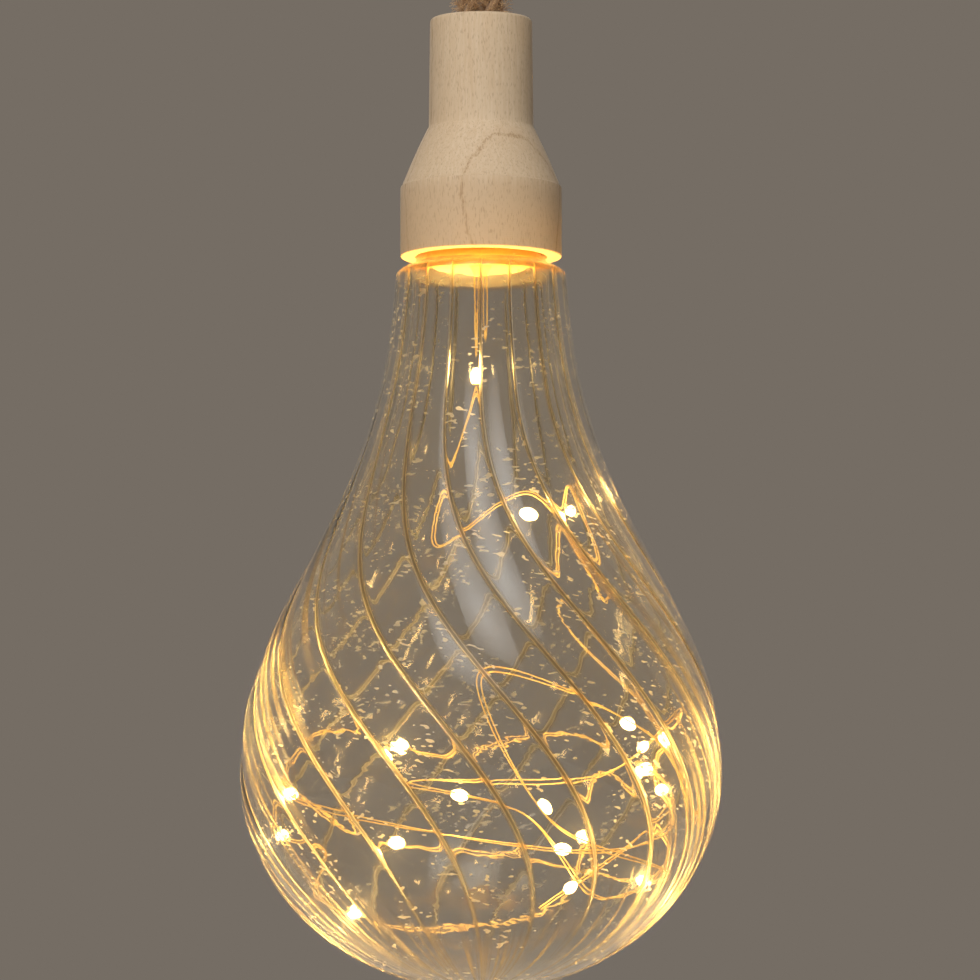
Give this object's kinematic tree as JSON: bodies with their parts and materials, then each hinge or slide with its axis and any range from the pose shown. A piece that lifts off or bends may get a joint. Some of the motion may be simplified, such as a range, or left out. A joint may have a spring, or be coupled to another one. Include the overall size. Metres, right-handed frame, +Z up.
{
  "type": "rope pendant lamp",
  "caption": "Battery pendant lamp: a fluted pear-shaped glass bulb with a string of small warm lights under a turned wooden cap on a jute rope loop.",
  "frame": {"origin": "the point of the rope loop's inside that bears on a hook", "axes": "+Z up along the lamp's axis, +X across the two rope legs, -Y towards the picture's camera"},
  "size_m": [0.1504, 0.1504, 0.4632],
  "materials": {
    "jute_rope": "rough twisted jute, loose fibres",
    "zinc_steel": "bright zinc plate",
    "turned_wood": "turned and sanded, unvarnished pale wood",
    "clear_glass": "clear blown glass with soft twisted flutes",
    "pale_plug": "pale moulded plug, satin",
    "seal_rubber": "matt black rubber",
    "black_plastic": "fine spark-eroded moulding",
    "white_plastic": "smooth moulding",
    "cell_wrap": "glossy printed sleeve, left plain",
    "nickel_strip": "bright nickel plate",
    "green_board": "green lacquered circuit board",
    "copper_wire": "lacquered copper wire",
    "red_insulation": "smooth insulation",
    "black_insulation": "smooth insulation",
    "warm_light": "clear resin drop over a lit warm light"
  },
  "bodies": {
    "hanger": {"hanging_rope": "jute_rope", "stopper_knot": "jute_rope", "knot_washer": "zinc_steel"},
    "cap": {"wooden_cap": "turned_wood"},
    "bulb": {"glass_bulb": "clear_glass", "neck_plug": "pale_plug", "wire_seal": "pale_plug", "grip_ring": "seal_rubber", "battery_carrier": "black_plastic", "timer_chip": "black_plastic", "switch_body": "zinc_steel", "circuit_board": "green_board", "light_wire": "copper_wire", "positive_lead": "red_insulation", "negative_lead": "black_insulation", "battery_cell_1": "cell_wrap", "battery_cell_2": "cell_wrap", "battery_cell_3": "cell_wrap", "contact_spring_1": "zinc_steel", "contact_spring_2": "zinc_steel", "contact_spring_3": "zinc_steel", "lower_bridge_strip": "nickel_strip", "lower_end_strip": "nickel_strip", "upper_bridge_strip": "nickel_strip", "upper_end_strip": "nickel_strip", "board_screw_1": "zinc_steel", "board_screw_2": "zinc_steel", "board_screw_3": "zinc_steel", "light_01": "warm_light", "light_02": "warm_light", "light_03": "warm_light", "light_04": "warm_light", "light_05": "warm_light", "light_06": "warm_light", "light_07": "warm_light", "light_08": "warm_light", "light_09": "warm_light", "light_10": "warm_light", "light_11": "warm_light", "light_12": "warm_light", "light_13": "warm_light", "light_14": "warm_light", "light_15": "warm_light", "light_16": "warm_light", "light_17": "warm_light", "light_18": "warm_light", "light_19": "warm_light", "light_20": "warm_light"},
    "switch": {"switch_knob": "white_plastic"}
  },
  "joints": [
    {"name": "cap_swivel", "type": "hinge", "parent": "hanger", "child": "cap", "pos_m": [0, 0, -0.226], "axis": [0, 0, 1], "continuous": true},
    {"name": "bulb_pull", "type": "slide", "parent": "cap", "child": "bulb", "axis": [0, 0, -1], "range_m": [0, 0.062]},
    {"name": "switch_slide", "type": "slide", "parent": "bulb", "child": "switch", "axis": [1, 0, 0], "range_m": [-0.002, 0.002]}
  ]
}
